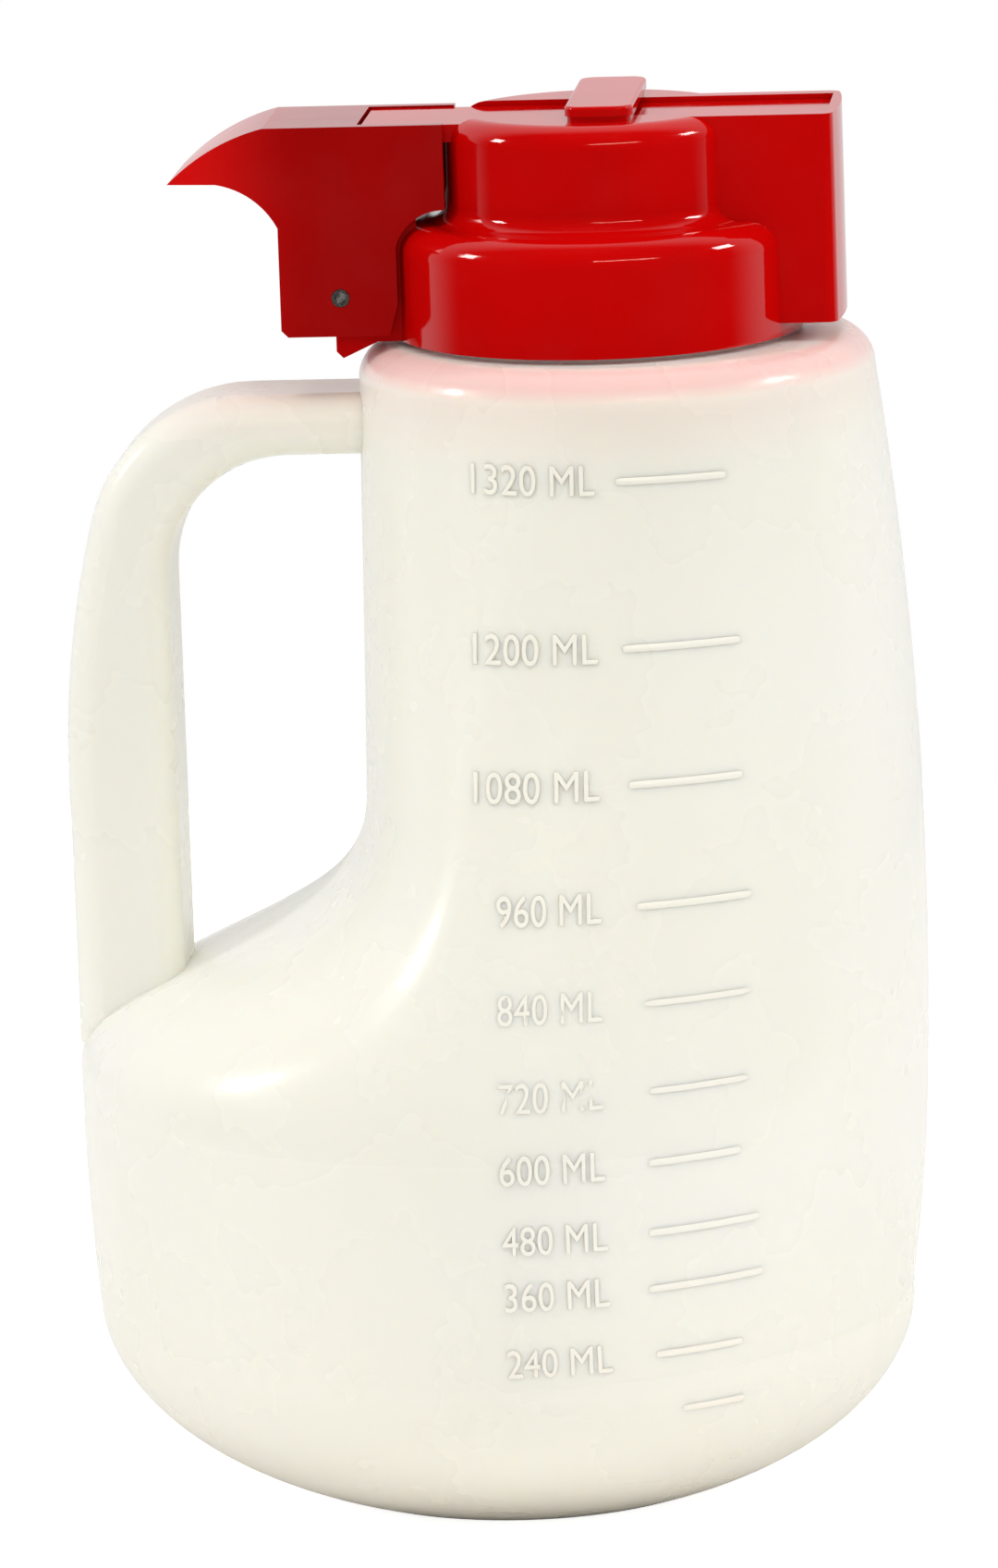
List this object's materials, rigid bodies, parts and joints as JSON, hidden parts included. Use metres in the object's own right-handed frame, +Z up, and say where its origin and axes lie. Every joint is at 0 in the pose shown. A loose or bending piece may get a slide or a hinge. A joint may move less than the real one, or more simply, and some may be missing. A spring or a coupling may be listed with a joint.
{
  "type": "syrup dispenser",
  "caption": "Plastic jug with a loop handle and a screw-on lid, whose thumb lever slides a gate back to open the pouring mouth.",
  "frame": {"origin": "middle of the box that the dispenser fills, on the surface it stands on", "axes": "+X towards the pouring end, -X towards the handle, +Y to the back, +Z up"},
  "size_m": [0.1276, 0.1272, 0.2086],
  "materials": {
    "jug": "milky translucent polypropylene, satin",
    "lid": "glossy moulded ABS",
    "gate": "glossy moulded ABS",
    "strap": "glossy moulded ABS",
    "lever": "glossy moulded ABS",
    "pin": "bright rolled steel"
  },
  "bodies": {
    "jug_body": {"jug": "jug", "lid": "lid", "strap": "strap", "pin": "pin"},
    "lever_body": {"lever": "lever"},
    "gate_body": {"gate": "gate"}
  },
  "joints": [
    {"name": "lever_pivot", "type": "hinge", "parent": "jug_body", "child": "lever_body", "pos_m": [-0.0193, 0, 0.1805], "axis": [0, -1, 0], "range_deg": [0, 12], "stiffness_Nm_per_rad": 0.1, "springref_deg": -8.59},
    {"name": "gate_slide", "type": "slide", "parent": "jug_body", "child": "gate_body", "axis": [-1, 0, 0], "range_m": [0, 0.0053]}
  ],
  "couplings": [
    {"joint": "gate_slide", "follows": "lever_pivot", "m_per_rad": 0.0245}
  ]
}
